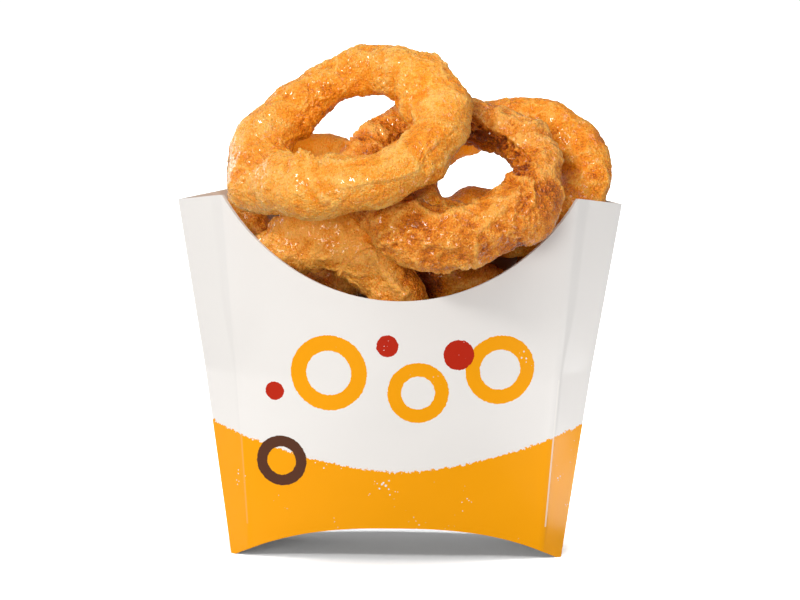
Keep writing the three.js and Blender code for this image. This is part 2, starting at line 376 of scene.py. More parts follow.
def half_depth(s, z):
    """Half the carton's depth at a station: the gusset's own depth at the side fold, plus the
    bow's share of the rest. Above the gusset nothing creases the panel at the score line, so there
    the bow is averaged over a quarter of a station to each side and turns softly; below, the crease
    stays crisp and stands up as a fine bead."""
    edge = between(FOLD_HALF_DEPTH, GUSSET_HALF_DEPTH, np.clip(1 - z / GUSSET_HEIGHT, 0, 1))
    deepest = between(FOOT_HALF_DEPTH, MOUTH_HALF_DEPTH, z / MOUTH_HEIGHT)
    softness = (0.03 + 0.2 * rise(GUSSET_HEIGHT - 6, GUSSET_HEIGHT + 22, z)) * rise(2, 1.6, np.abs(s))
    share = (bow_share(s - softness, z) + 2 * bow_share(s, z) + bow_share(s + softness, z)) / 4
    from_score = (np.abs(s) - 1) * SCORE_FOOT_X * np.where(np.abs(s) > 1, 0.2, 1)
    creased = rise(GUSSET_HEIGHT + 1, GUSSET_HEIGHT - 1, z) * rise(3, 12, z)
    bead = BEAD_HEIGHT * np.exp(-(from_score / BEAD_HALF_WIDTH) ** 2) * creased
    return edge + (deepest - edge) * share + bead


def rim_height(x, lowest):
    """The scoop is an arc of a circle through its lowest point and both inner ear corners; the ears
    slope straight down from there to the side fold."""
    drop = EAR_INNER_HEIGHT - lowest
    radius = (EAR_INNER_X ** 2 + drop ** 2) / (2 * drop)
    scoop = lowest + radius - np.sqrt(np.maximum(radius ** 2 - np.minimum(np.abs(x), EAR_INNER_X) ** 2, 0))
    out = (np.abs(x) - EAR_INNER_X) / (MOUTH_HALF_WIDTH - EAR_INNER_X)
    return np.where(np.abs(x) <= EAR_INNER_X, scoop, between(EAR_INNER_HEIGHT, EAR_OUTER_HEIGHT, out))


def rim_at_station(s, lowest):
    """The rim's height where a station meets it. The station moves out as it rises, so the height
    is found by going round eight times."""
    z = np.full(np.shape(s), 90.0)
    for _ in range(8):
        z = rim_height(station_x(s, z), lowest)
    return z


def arch_at_station(s):
    """Height of the arched foot edge: full in the middle and falling to nothing at each foot."""
    x, foot = np.abs(station_x(s, 0.0)), station_x(FOOT_STATION, 0.0)
    return ARCH_HEIGHT * np.maximum(0, 1 - (x / foot) ** ARCH_POWER)


print("the mouth is %.0f mm deep mid-panel and %.0f mm at the score lines"
      % tuple(2 * half_depth(s, MOUTH_HEIGHT) for s in (0, 1)))

# %% Lay out the carton's outline and walls
def carton_outline(per_panel, per_gusset):
    """Once round the carton: station and side (-1 front, +1 back). A sine wave that turns once a
    station sets the places closest half-way between the middle, a score line and a side fold. Those
    lines are places themselves."""
    even = np.linspace(-2, 2, per_panel + 1)[:-1]
    spaced = even + 0.14 * np.sin(2 * math.pi * even)
    gusset = np.linspace(-1, 1, per_gusset + 1)[:-1]
    fold = np.full(per_gusset, 2.0)
    station = np.concatenate([spaced, fold, -spaced, -fold])
    side = np.concatenate([np.full(per_panel, -1.0), gusset, np.full(per_panel, 1.0), -gusset])
    return station, side


def wall_place(station, z, inside):
    """Distance from the middle and half depth at a station and height. The inside face is drawn in
    by the fold's width at the side fold and by the sheet's thickness from the panel."""
    x, depth = station_x(station, z), half_depth(station, z)
    if inside:
        x = x * (half_width(z) - FOLD_WIDTH) / half_width(z)
        depth = np.maximum(depth - SHEET_THICKNESS, INNER_GAP)
    return x, depth


def carton_wall(station, side, up, inside):
    """One face of the walls: for each place on the outline, a straight run of heights from the
    arched foot edge to the rim, at the depth that the panel has there."""
    low = arch_at_station(station) + (SHEET_THICKNESS if inside else 0)
    high = np.where(side < 0, rim_at_station(station, FRONT_SCOOP_LOW),
                    rim_at_station(station, BACK_SCOOP_LOW))
    z = between(low, high, up[:, None])
    x, depth = wall_place(station, z, inside)
    return np.stack([x, side * depth, z], -1)


def carton_floor(station, across, inside):
    """The arched bottom panel: straight from the front foot edge to the back one at each station."""
    z = arch_at_station(station) + (SHEET_THICKNESS if inside else 0)
    x, depth = wall_place(station, z, inside)
    return np.stack(np.broadcast_arrays(x, across[:, None] * depth, z), -1)


PER_PANEL, PER_GUSSET, WALL_ROWS = 176, 10, 96
station, side = carton_outline(PER_PANEL, PER_GUSSET)
up = np.linspace(0, 1, WALL_ROWS)
outside_wall, inside_wall = (carton_wall(station, side, up, inside) for inside in (False, True))
print("outline has", len(station), "places; the front rim's lowest point is %.1f mm up"
      % outside_wall[-1, :PER_PANEL, 2].min())

# %% [markdown]
# Board is stiff but never quite flat: it carries shallow dents where fingers squeezed it and a
# faint wave along the free rim. A low swell across the panels gives the gloss something to bend
# over. It fades out at the folds, and all but its finest part at the foot, so the measured outline
# stays.

# %% Dents of handling
def handling_dents(points, station):
    """Shallow swells of a few tenths of a millimetre, in and out, largest mid-panel: one 23 mm
    wide, and a fainter one 7 mm wide."""
    calm = rise(2, 1.2, np.abs(station))
    height = rise(8, 30, points[..., 2])
    return (0.22 * swells(points / 23, 71) * height + 0.05 * swells(points / 7, 72)) * calm


push = handling_dents(outside_wall, station) * np.where(np.abs(side) == 1, side, 0)
for wall in (outside_wall, inside_wall):
    wall[..., 1] += push
print("dents up to %.2f mm deep" % np.abs(push).max())

# %% Close the carton into one thin-walled piece
rows, columns = outside_wall.shape[:2]
one_wall = rows * columns
outer_faces = grid_faces(rows, columns, closed_columns=True)[:, ::-1]
inner_faces = grid_faces(rows, columns, one_wall, closed_columns=True)
brim = np.arange(columns)
outer_top, inner_top = (rows - 1) * columns + brim, one_wall + (rows - 1) * columns + brim
brim_faces = np.stack([outer_top, np.roll(outer_top, -1), np.roll(inner_top, -1), inner_top], -1)

panel_station = np.append(station[:PER_PANEL], 2.0)
across = np.linspace(-1, 1, PER_GUSSET + 1)
floor_outside, floor_inside = (carton_floor(panel_station, across, inside) for inside in (False, True))
floor_grid = floor_outside.shape[:2]
under_faces = grid_faces(*floor_grid, 2 * one_wall)
upper_faces = grid_faces(*floor_grid, 2 * one_wall + math.prod(floor_grid))[:, ::-1]

sheets = (outside_wall, inside_wall, floor_outside, floor_inside)
carton_points = np.concatenate([sheet.reshape(-1, 3) for sheet in sheets])
carton_faces = np.concatenate([outer_faces, under_faces, inner_faces, upper_faces, brim_faces])
PRINTED, PLAIN, CUT_EDGE = 0, 1, 2
plain_count = len(under_faces) + len(inner_faces) + len(upper_faces)
carton_finish = np.repeat([PRINTED, PLAIN, CUT_EDGE], [len(outer_faces), plain_count, len(brim_faces)])
carton = piece_from("carton_board", carton_points, carton_faces, carton_finish)

# %% Join its seams
loose = bmesh.new()
loose.from_mesh(carton.data)
bmesh.ops.remove_doubles(loose, verts=loose.verts, dist=0.00002)
loose.to_mesh(carton.data)
loose.free()
carton.data.set_sharp_from_angle(angle=math.radians(38))
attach(carton, "root")
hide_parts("carton")
print("carton now has", len(carton.data.vertices), "points after its seams were joined")

# %% [markdown]
# ## The rings
# A real ring is a slice of onion dipped in batter and fried: a slightly squashed hoop whose crust
# is thicker where the batter ran. The solids hold that form already, so the same formula is
# worked out again here on a grid about ten times as fine, and the small relief of the batter is
# added along the surface's own outward direction.

# %% Where each ring lies
# at: middle, mm; turns: lean back, roll, swing, degrees; size: half length and half width of the
# hoop; bend: direction, degrees, and strength of its third swell; crust: half thickness across and
# up; uneven: where the crust is thicker and by what share; crest: place round, place across, height;
# hollows: place round and across, height (below 0 draws the crust in), spread round and across.
RINGS = {
    "ring_top": dict(at=(-14, -13.8, 118.7), turns=(38, 22, 0), size=(25, 21.6), bend=(285, 0.05),
                     crust=(9.2, 7.2), uneven=(100, -0.24), crest=(-130, 120, 0.9), seed=3,
                     hollows=[(290, 165, -4.2, 30, 60), (325, 175, -2.2, 26, 60), (338, 20, 1.6, 26, 50),
                              (15, 40, -1, 25, 50), (192, -20, 2.4, 18, 60), (115, 195, 1.4, 28, 50),
                              (42, 180, -1.2, 20, 50)]),
    "ring_right": dict(at=(13.9, -12.2, 106.2), turns=(44, 1, -5), size=(23.8, 20.7), bend=(45, 0.025),
                       crust=(7.7, 6.9), uneven=(-105, 0.18), crest=(268, -25, 1.3), seed=7,
                       hollows=[(303, -20, -1.3, 30, 60), (10, 0, -1.6, 35, 60), (80, 200, -3.5, 45, 60),
                                (140, 190, -2.6, 30, 60), (213, 0, -2.8, 22, 80), (322, -25, 2.4, 22, 50)]),
    "ring_back": dict(at=(28.6, 8.9, 105), turns=(53, 2.5, -8), size=(25.1, 18.8), bend=(300, 0.012),
                      crust=(7, 6.4), uneven=(180, -0.05), crest=(40, 60, 0.6), seed=11,
                      hollows=[(2, 300, -3.2, 30, 60), (300, 290, -2.4, 35, 60), (176, 319, -1.1, 25, 50),
                               (280, 100, 2.2, 34, 55), (5, 180, 1.4, 20, 50)]),
    "ring_front_left": dict(at=(-18.9, -11, 70.7), turns=(87, -29, -9), size=(19.9, 16.3), bend=(226, 0.025),
                            crust=(7.1, 6.2), uneven=(40, 0.05), crest=(55, 45, 1.5), seed=19,
                            hollows=[(235, 75, -1.9, 45, 70), (165, 60, 1.6, 22, 60), (132, 8, 2.2, 24, 60),
                                     (106, 0, 1.2, 16, 50)]),
    "ring_under_top": dict(at=(-25.2, 11, 90.8), turns=(91, 7, 19), size=(19.4, 19.4), bend=(46, 0.025),
                           crust=(6.3, 6), uneven=(0, 0), crest=(80, 20, 0.8), seed=23,
                           hollows=[(123, 55, 2.2, 20, 40)]),
    "ring_back_right": dict(at=(23.3, 11.3, 78.5), turns=(80, 1, -17), size=(17.3, 17.1), bend=(46, 0.025),
                            crust=(6.4, 6.1), uneven=(0, 0), crest=(100, 90, 0.6), seed=31),
    "ring_deep_right": dict(at=(14.6, -2.4, 61), turns=(84, 21, -14), size=(18.5, 16.5), bend=(136, 0.025),
                            crust=(6.4, 6.1), uneven=(0, 0), crest=(70, 30, 0.7), seed=37),
    "ring_low_left": dict(at=(-25.5, 5.6, 33), turns=(81, -1, 18), size=(17.5, 17.5), bend=(316, 0.025),
                          crust=(6.4, 6.1), uneven=(0, 0), crest=(200, 60, 0.5), seed=41),
    "ring_low_right": dict(at=(21.2, 3, 32.9), turns=(62, 12, -13), size=(17.5, 17.5), bend=(227, 0.025),
                           crust=(6.4, 6.1), uneven=(0, 0), crest=(300, 80, 0.5), seed=43),
}
# waves of the crust: how many round, how many across, share of the crust's thickness
CRUST_WAVES = [(2, 1, 0.045), (3, 0, 0.04), (4, 2, 0.03), (5, 1, 0.035), (7, 2, 0.03),
               (9, 1, 0.025), (11, 3, 0.022), (13, 2, 0.022), (16, 1, 0.018)]
print(len(RINGS), "rings,", len(CRUST_WAVES), "waves in each crust")

# %% A ring's main form
def turned_back(degrees):
    """The same angle, between -180 and 180."""
    return (degrees + 180) % 360 - 180


def bell(angle, place, width):
    """1 where an angle, in radians, is at the place, and falling like a bell over the width. Place
    and width are in degrees."""
    return np.exp(-(turned_back(np.degrees(angle) - place) / width) ** 2)


def spot(a, b, place):
    """A soft spot on the crust: a bell round the hoop times a bell round the crust. The place is
    both bells' places and then both widths."""
    place_round, place_across, round_width, across_width = place
    return bell(a, place_round, round_width) * bell(b, place_across, across_width)


def wave_starts(seed):
    """One start for each wave, in radians: a number that is multiplied by 48271 each time and cut
    to its remainder."""
    state, starts = seed * 7919, []
    for _ in CRUST_WAVES:
        state = state * 48271 % 2147483647
        starts.append(state / 2147483647 * 2 * math.pi)
    return starts


def ring_form(ring, a, b):
    """A point of the ring before it is laid in the heap, mm. The hoop is an ellipse with a third
    swell; at each place round it, a stands for the angle round the hoop and b for the angle round
    the crust, whose half thickness is changed by the uneven share, the waves, the crest and the
    hollows."""
    size, crust = ring["size"], ring["crust"]
    bend = math.radians(ring["bend"][0])
    swell = 1 + ring["bend"][1] * np.sin(3 * a + bend)
    outward = np.stack([size[1] * np.cos(a), size[0] * np.sin(a)], -1)
    outward = outward / np.linalg.norm(outward, axis=-1, keepdims=True)
    bulge = 1 + ring["uneven"][1] * bell(a, ring["uneven"][0], 60)
    for (round_, across_, height), start in zip(CRUST_WAVES, wave_starts(ring["seed"])):
        bulge = bulge + height * np.sin(round_ * a + across_ * b + start)
    *crest_place, crest_height = ring["crest"]
    ridge = crest_height * spot(a, b, (*crest_place, 26, 30))
    for place_round, place_across, height, *widths in ring.get("hollows", ()):
        ridge = ridge + height * spot(a, b, (place_round, place_across, *widths))
    out_ = (crust[0] * bulge + ridge) * np.cos(b)
    up_ = (crust[1] * bulge + ridge) * np.sin(b)
    return np.stack([size[0] * swell * np.cos(a) + outward[..., 0] * out_,
                     size[1] * swell * np.sin(a) + outward[..., 1] * out_,
                     0.9 * np.sin(2 * a + bend) + up_], -1)


def outward_directions(points):
    """The direction straight out of a closed grid: the step round the hoop crossed with the step
    round the crust."""
    round_hoop = np.roll(points, -1, 0) - np.roll(points, 1, 0)
    round_crust = np.roll(points, -1, 1) - np.roll(points, 1, 1)
    out_ = np.cross(round_hoop, round_crust)
    return out_ / np.linalg.norm(out_, axis=-1, keepdims=True)


def laid_in_heap(ring, points):
    """Lean back about X, roll about Y, swing about Z, then move to the ring's place."""
    lean, roll, swing = (math.radians(t) for t in ring["turns"])
    turn = Matrix.Rotation(swing, 3, "Z") @ Matrix.Rotation(-roll, 3, "Y") @ Matrix.Rotation(lean, 3, "X")
    return points @ np.array(turn).T + np.array(ring["at"])


ROOM_FOR_SHEET = 0.85  # mm that the sheet and its dents take of the panel's half depth


def kept_inside(points):
    """Batter that leans on the board is pressed flat by it: below the rim, the distance from the
    carton's middle plane is held to the panel's half depth less the room for the sheet. The
    station is found from the distance across, the other way round from station_x."""
    x, z = np.abs(points[..., 0]), np.clip(points[..., 2], 0, MOUTH_HEIGHT)
    score = score_x(z)
    place = np.where(x < score, x / score, 1 + (x - score) / (half_width(z) - score))
    most = np.maximum(half_depth(np.clip(place, 0, 2), z) - ROOM_FOR_SHEET, 0.1)
    rim = np.where(points[..., 1] < 0, rim_height(x, FRONT_SCOOP_LOW), rim_height(x, BACK_SCOOP_LOW))
    leans = (points[..., 2] < rim + 0.5) & (place < 1.9)
    held = points.copy()
    held[..., 1] = np.where(leans, np.clip(points[..., 1], -most, most), points[..., 1])
    return held


print("wave starts of the top ring:", ["%.2f" % start for start in wave_starts(RINGS["ring_top"]["seed"])])

# %% [markdown]
# ## Batter relief
# Look closely at fried batter and there are many sizes of thing on it: broad lumps where it ran,
# folds and ridges where it set while moving, blisters and crumbs where steam broke through, and a
# sandy grain over all. Each is a line or two of noise, and each ring has its own share of them: the
# pale rings are smooth with fine grain, the browner ones are craggy.

# %% Relief along the surface, mm
BATTER = {
    #                  lumps folds wrinkles flakes blisters crumbs knobs sand
    "ring_top":        (0.45, 0.30, 0.26, 0.18, 0.20, 0.24, 0.42, 0.36),
    "ring_right":      (0.60, 0.70, 0.50, 0.42, 0.34, 0.40, 0.62, 0.44),
    "ring_back":       (0.40, 0.30, 0.50, 0.18, 0.20, 0.22, 0.38, 0.32),
    "ring_front_left": (0.60, 0.70, 0.26, 0.48, 0.32, 0.36, 0.58, 0.40),
    "ring_under_top":  (0.55, 0.55, 0.22, 0.26, 0.25, 0.22, 0.26, 0.13),
    "ring_back_right": (0.55, 0.50, 0.22, 0.26, 0.25, 0.22, 0.24, 0.12),
    "ring_deep_right": (0.55, 0.55, 0.22, 0.26, 0.25, 0.22, 0.24, 0.12),
    "ring_low_left":   (0.55, 0.50, 0.20, 0.20, 0.25, 0.00, 0.20, 0.00),
    "ring_low_right":  (0.55, 0.50, 0.20, 0.20, 0.25, 0.00, 0.20, 0.00),
}


def batter_relief(name, form, a, b):
    """Height of the batter above the main form, mm, and where it is rough and where it is folded,
    each 0 to 1. Lumps: swells 9 and 4 mm wide.
    Folds: where a 6 mm swell crosses zero, a sharp-backed ridge. Wrinkles: swells that change fast
    round the hoop and slowly round the crust. Flakes: flat-topped patches with a steep edge.
    Blisters and crumbs: round grains 2.6 and 1.4 mm apart, only in patches. Knobs and sand: swells
    2 and 0.9 mm wide all over, which also make the outline ragged."""
    lumps, folds, wrinkles, flakes, blisters, grains, knobs, sand = BATTER[name]
    seed = RINGS[name]["seed"] * 100
    drift = np.stack([swells(form / 11 + 7.3, seed + k) for k in range(3)], -1)
    p = form + 1.6 * drift
    rough = rise(-0.15, 0.45, swells(form / 13 + 3.1, seed + 4))
    height = lumps * (swells(p / 9, seed + 5) + 0.5 * swells(p / 4.2, seed + 6))
    fold = np.maximum(0, 1 - 2.6 * np.abs(swells(p / 6.5, seed + 7))) ** 1.6
    height += folds * fold * (0.25 + 0.75 * rise(-0.3, 0.4, swells(form / 15, seed + 8)))
    reach = 10 + 0.5 * np.cos(b)
    hoop = np.stack([reach * np.cos(a), reach * np.sin(a), 1.1 * np.sin(b)], -1)
    wrinkle = swells(hoop + 0.35 * drift, seed + 9)
    height += wrinkles * (wrinkle - 0.4 * np.abs(wrinkle)) * rise(-0.35, 0.35, swells(form / 17, seed + 10))
    flake = rise(0.16, 0.24, swells(p / 3.4, seed + 11)) * (0.5 + 0.5 * swells(p / 8, seed + 12))
    height += flakes * flake * (0.3 + 0.7 * rough)
    blister = np.maximum(0, 1 - (crumbs(p / 2.6, seed + 13) / 0.52) ** 2)
    height += blisters * blister * rise(-0.1, 0.35, swells(form / 10, seed + 14))
    if grains:
        height += grains * np.maximum(0, 1 - (crumbs(p / 1.45, seed + 15) / 0.6) ** 2) * rough
    height += knobs * (0.6 + 0.4 * rough) * swells(p / 2.0, seed + 16)
    if sand:
        height += sand * (0.5 + 0.5 * rough) * swells(p / 0.9, seed + 17)
    return height, rough, fold


print("batter for", len(BATTER), "rings")

# %% [markdown]
# Some places stand out on single rings: the thin lip where the batter folded over on the top ring, the torn,
# spongy band inside the right ring, the fan of creases beside it, the plate of batter that lies over the
# front left ring, and crumbs that stuck to a rim. Each is drawn as a path on the crust, in degrees round the
# hoop and round the crust, and turned into height and colour. Some of that colour is painted light: paler
# lips, ridges and crease backs are painted highlights, dark holes in the torn band and dark patches on the
# front left and deep right rings are painted shade, and a paler patch inside the back ring is painted light.

# %% Places that stand out
# kind, path of (round, across) in degrees, width in mm, height in mm
MARKS = {
    "ring_top": [
        ("lip", [(320, 32), (310, 38), (302, 38), (294, 24), (286, 26), (272, 40), (262, 42)], 3.2, 0.55),
        ("ridge", [(336, 128), (318, 118), (305, 104), (294, 82), (286, 80)], 0.9, 0.35),
        ("lip", [(30, 84), (20, 104)], 1.8, 0.45),
        ("crumbs", [(224, 122), (234, 114), (247, 100)], 1.8, 1.5),
        ("crumbs", [(252, 100), (264, 94), (276, 90)], 1.1, 0.5),
        ("crumbs", [(20, 20), (40, 10), (60, 355)], 3.0, 0.55),
    ],
    "ring_right": [
        ("torn", [(74, 126), (60, 146), (40, 148), (25, 148), (6, 134), (352, 114)], 2.3, 0.9),
        ("creases", [(350, 104), (314, 52)], 4.6, 0.8),
        ("browning_and_painted_shade", [(76, 150), (40, 165), (10, 160), (350, 135)], 5.0, 0.28),
        ("ridge", [(310, 80), (300, 72), (290, 62), (283, 60)], 0.7, 0.45),
        ("ridge", [(304, 92), (296, 88), (286, 80)], 0.6, 0.35),
        ("crumbs", [(268, 141), (278, 132), (286, 118), (292, 104)], 1.3, 0.8),
        ("crumbs", [(250, 352), (264, 356), (276, 350), (290, 350), (302, 350)], 2.2, 0.7),
        ("crumbs", [(268, 325), (270, 320)], 0.8, 1.8),
        ("ridge", [(239, 64), (240, 50)], 0.8, 0.8),
        ("lip", [(256, 40), (268, 30), (282, 34), (296, 30)], 2.6, 0.4),
    ],
    "ring_back": [
        ("creases", [(20, 130), (352, 60)], 6.0, 0.4),
        # below 0 this patch is paler: painted light on the ring's shaded inner side
        ("browning_and_painted_shade", [(145, 175), (118, 165), (100, 205)], 7.0, -0.25),
        ("crumbs", [(30, 144), (22, 150)], 1.2, 0.6),
    ],
    "ring_front_left": [
        ("lip", [(99, 146), (96, 128), (90, 106), (88, 82), (84, 68)], 4.5, 1.5),
        ("ridge", [(84, 68), (78, 72), (64, 80), (54, 78), (43, 64)], 1.3, 1.8),
        # a painted shadow beside the ridge
        ("browning_and_painted_shade", [(84, 36), (62, 34), (44, 30)], 5.0, 0.5),
        ("crumbs", [(78, 52), (66, 60), (56, 55)], 1.6, 0.7),
        ("crumbs", [(100, 40), (96, 30)], 1.2, 0.6),
        ("crumbs", [(114, 10), (102, 16)], 3.4, 1.7),
        ("crumbs", [(152, 8), (142, 16)], 3.2, 1.6),
    ],
    "ring_deep_right": [("ridge", [(100, 60), (85, 70), (70, 62)], 1.2, 0.5),
                        # the second patch is painted shade: the ring made dark where it lies in a deep gap
                        ("browning_and_painted_shade", [(130, 60), (94, 70)], 9.0, 0.8)],
}


def degree_lengths(ring):
    """How long a degree is round the hoop and round the crust, mm, on each one's middle circle."""
    return [math.radians(sum(ring[k]) / 2) for k in ("size", "crust")]


def from_path(ring, a, b, path):
    """Distance from a path on the crust, mm, below 0 where b is smaller than the path's. A degree
    round the hoop is longer outside its middle circle and shorter inside. Each straight part of
    the path is tried, and the nearest counts."""
    per_round, per_across = degree_lengths(ring)
    per_round = per_round + per_across * np.cos(b)
    nearest, side = np.full(a.shape, 99.0), np.ones(a.shape)
    for (round_0, across_0), (round_1, across_1) in zip(path, path[1:]):
        u = turned_back(np.degrees(a) - round_0) * per_round
        v = turned_back(np.degrees(b) - across_0) * per_across
        run = turned_back(round_1 - round_0) * per_round
        climb = (across_1 - across_0) * per_across
        share = np.clip((u * run + v * climb) / (run * run + climb * climb), 0, 1)
        gap = np.hypot(u - share * run, v - share * climb)
        side = np.where(gap < nearest, np.sign((v * run - u * climb) * np.sign(run)), side)
        nearest = np.minimum(nearest, gap)
    return nearest * side


def local_marks(name, form, a, b):
    """Height, mm, change of browning, and sponginess of the places that stand out. A lip steps up sharply
    and fades away behind, and a pale line along its step is a painted highlight; a ridge is a sharp back,
    painted paler as a highlight; crumbs are heaped grains; a torn band is sunken, with holes in it that are
    painted dark as shade; a patch of browning and painted shade changes only the colour, and paints light
    where its value is below 0; creases are sharp lines that spread from the path's first point, painted
    paler on their backs and darker between them, as highlight and shade."""
    ring, seed = RINGS[name], RINGS[name]["seed"] * 100 + 50
    height, brown, spongy = (np.zeros(a.shape) for _ in range(3))
    wobble = 0.35 * swells(form / 1.6, seed) + 0.3 * swells(form / 3.5, seed + 1)
    for kind, path, width, rise_mm in MARKS.get(name, ()):
        gap = from_path(ring, a, b, path)
        away = np.abs(gap)
        if kind == "lip":
            near = np.exp(-np.maximum(gap, 0) / width) * rise(-0.25, 0.15, gap + wobble * 0.7)
            near = near * (away < 4 * width)
            height += rise_mm * near
            # a pale line along the lip's step: a painted highlight
            brown -= 0.14 * np.exp(-(gap / 0.7) ** 2)
        elif kind == "ridge":
            near = np.exp(-((away + wobble * 0.5) / width) ** 2)
            height += rise_mm * near
            # paler along the ridge: a painted highlight
            brown -= 0.30 * near
        elif kind == "crumbs":
            grain = np.maximum(0, 1 - (crumbs(form / 1.3, seed + 2) / 0.62) ** 2)
            near = rise(width, 0.25 * width, away + wobble)
            height += rise_mm * near * (0.35 + 0.65 * grain)
            brown -= 0.10 * near
        elif kind == "torn":
            near = rise(width, 0.6 * width, away + 0.8 * wobble)
            hole = rise(0.50, 0.25, crumbs(form / 1.6, seed + 3)) * near
            height += near * (-rise_mm * 0.5 + 0.9 * swells(form / 1.5, seed + 4)) - rise_mm * 0.8 * hole
            height += 0.5 * np.exp(-((away - width * 1.1) / 0.5) ** 2)
            # the holes are painted dark as shade inside them; the band itself is a little browner
            brown += 0.06 * near + 0.55 * hole
            spongy += near
        # only the colour changes: painted shade on the front left and deep right rings, painted light below
        # 0 on the back ring, a browner patch on the right ring
        elif kind == "browning_and_painted_shade":
            brown += rise_mm * rise(width, 0.3 * width, away + wobble)
        else:
            (focus_a, focus_b), _ = path
            mm_round, mm_across = degree_lengths(ring)
            u = turned_back(np.degrees(a) - focus_a) * mm_round
            v = turned_back(np.degrees(b) - focus_b) * mm_across
            turn_, reach = np.arctan2(v, u), np.hypot(u, v)
            spokes = np.stack([4.2 * np.cos(turn_) + 0.05 * reach, 4.2 * np.sin(turn_), reach / 5], -1)
            fan = swells(spokes + wobble[..., None] * 0.5, seed + 5)
            sharp = np.maximum(0, 1 - 3 * np.abs(fan))
            near = rise(width, 0.5 * width, away + wobble) * rise(0.8, 3.2, reach)
            height += rise_mm * near * (sharp ** 1.3 - 0.35)
            # crease backs painted paler and the ground between them darker: painted highlight and shade
            brown -= 0.12 * near * (sharp - 0.5)
    return height, brown, spongy


print(sum(len(marks) for marks in MARKS.values()), "marks on", len(MARKS), "rings")

# %% Browning, painted shade, oil and painted glow of the crust
# shares by which a ring is paler: on the front left ring and the ring under the top this is painted light;
# below 0, the back and right rings are browner
TONE_AND_PAINTED_LIGHT = {"ring_front_left": 0.20, "ring_under_top": 0.25, "ring_back": -0.18, "ring_right": -0.10}


def browning_and_shade(name, form, height, rough, fold, b):
    """How brown the crust is, 0 pale to 1 dark: patches 12 and 5 mm wide, browner in rough patches, a deeper
    orange on the inside of the hoop, where the batter is thin, and painted shade and highlight: browner in
    hollows, palest on high places and the backs of folds. The table paints light on the front left ring and
    the ring under the top by making them paler, and makes the back and right rings browner."""
    seed = RINGS[name]["seed"] * 100
    patch = 0.5 + 0.5 * (swells(form / 12, seed + 20) + 0.5 * swells(form / 5, seed + 21))
    # - 0.48 * height and - 0.18 * fold paint shade into hollows and highlights onto high places and fold
    #   backs
    tone = 0.28 + 0.22 * patch + 0.12 * rough - 0.18 * fold - 0.48 * height + 0.24 * bell(b, 190, 55)
    return np.clip(tone - TONE_AND_PAINTED_LIGHT.get(name, 0), 0, 1)


# where frying oil still lies on the crust, and where an orange emission paints a glow into the crust's
# shade: how strongly, and the spots: round, across, width round and across, degrees
OILY = {"ring_top": (1, [(185, 40, 24, 60), (165, 70, 18, 40), (52, 100, 10, 20)]),
        "ring_front_left": (1, [(152, 40, 16, 50), (135, 45, 8, 25)]),
        "ring_under_top": (1, [(165, 90, 20, 60)])}
PAINTED_GLOW = {"ring_top": (0.3, [(100, 185, 70, 40), (5, 80, 35, 60)]),
        "ring_back": (0.9, [(118, 185, 24, 60)]),
        "ring_under_top": (0.75, [(94, 35, 32, 60)]),
        "ring_back_right": (0.35, [(90, 90, 40, 60)]),
        "ring_front_left": (0.25, [(120, 40, 40, 60)])}


def spots(table, name, a, b):
    """The strength that the table gives for a ring, at its spots. Where spots meet, the stronger
    one counts."""
    strength, places = table.get(name, (0, ()))
    share = np.zeros(a.shape)
    for place in places:
        share = np.maximum(share, spot(a, b, place))
    return strength * share


print("oil lies on", len(OILY), "rings and", len(PAINTED_GLOW), "have thin places")

# %% Make the nine crusts
FINENESS = {"ring_top": (512, 176), "ring_right": (512, 176), "ring_back": (512, 176),
            "ring_front_left": (448, 160), "ring_under_top": (320, 112), "ring_back_right": (320, 112),
            "ring_deep_right": (320, 112), "ring_low_left": (192, 64), "ring_low_right": (192, 64)}
FINISH = {"ring_top": "golden_crust", "ring_back": "golden_crust", "ring_right": "brown_crust",
          "ring_front_left": "brown_crust"}
crust_pieces = {}
for name, ring in RINGS.items():
    a, b = np.meshgrid(*(np.arange(n) * 2 * math.pi / n for n in FINENESS[name]), indexing="ij")
    form = ring_form(ring, a, b)
    height, rough, fold = batter_relief(name, form, a, b)
    brown = browning_and_shade(name, form, height, rough, fold, b)
    mark_height, mark_browning_and_shade, spongy = local_marks(name, form, a, b)
    height = height * (1 - 0.5 * spongy) + mark_height
    shaped = form + outward_directions(form) * height[..., None]
    laid = laid_in_heap(ring, shaped)
    held = kept_inside(laid)
    crust = piece_from(name.replace("ring", "crust"), held,
                       grid_faces(*a.shape, closed_rows=True, closed_columns=True))
    # the thin mask is where the crust gets a painted glow
    masks = {"browning_and_shade": np.clip(brown + mark_browning_and_shade, 0, 1), "roughness": np.maximum(rough, spongy),
             "oil": spots(OILY, name, a, b), "thin": spots(PAINTED_GLOW, name, a, b)}
    for mask, values in masks.items():
        crust.data.attributes.new(mask, "FLOAT", "POINT").data.foreach_set("value", values.ravel())
    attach(crust, "root")
    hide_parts(name)
    crust_pieces[name] = crust
    print("  relief from %.2f to %.2f mm, pressed in by the board by up to %.2f mm"
          % (height.min(), height.max(), np.abs(held - laid).max()))

# %% [markdown]
# Fried food is shot with a warm card low in front, which opens the shade between the rings without
# flattening the white board beside it. Here that is a weak, wide lamp that lights the five upper
# crusts only, so the deep ones stay in shade.

# %% A warm card for the crusts
UPPER_RINGS = ("ring_top", "ring_right", "ring_back", "ring_front_left", "ring_under_top")
soft_sun("warm card", 0.95, 24, (-0.1, -1, 0.05), (1, 0.87, 0.66),
         lights_only=[crust_pieces[name] for name in UPPER_RINGS])
print("the warm card lights", len(UPPER_RINGS), "crusts")

# %% [markdown]
# ## Materials
# Fried crust is a thin oily shell over pale, damp batter. Light goes in a little way, so some
# subsurface keeps the thin edges warm; oil lies on it unevenly, so a coat comes and goes with the
# grain. The colour is a ramp from pale gold to brown, read from the browning worked out above plus
# finer specks. The fine grain is the same effect on every ring, so it is one node group.

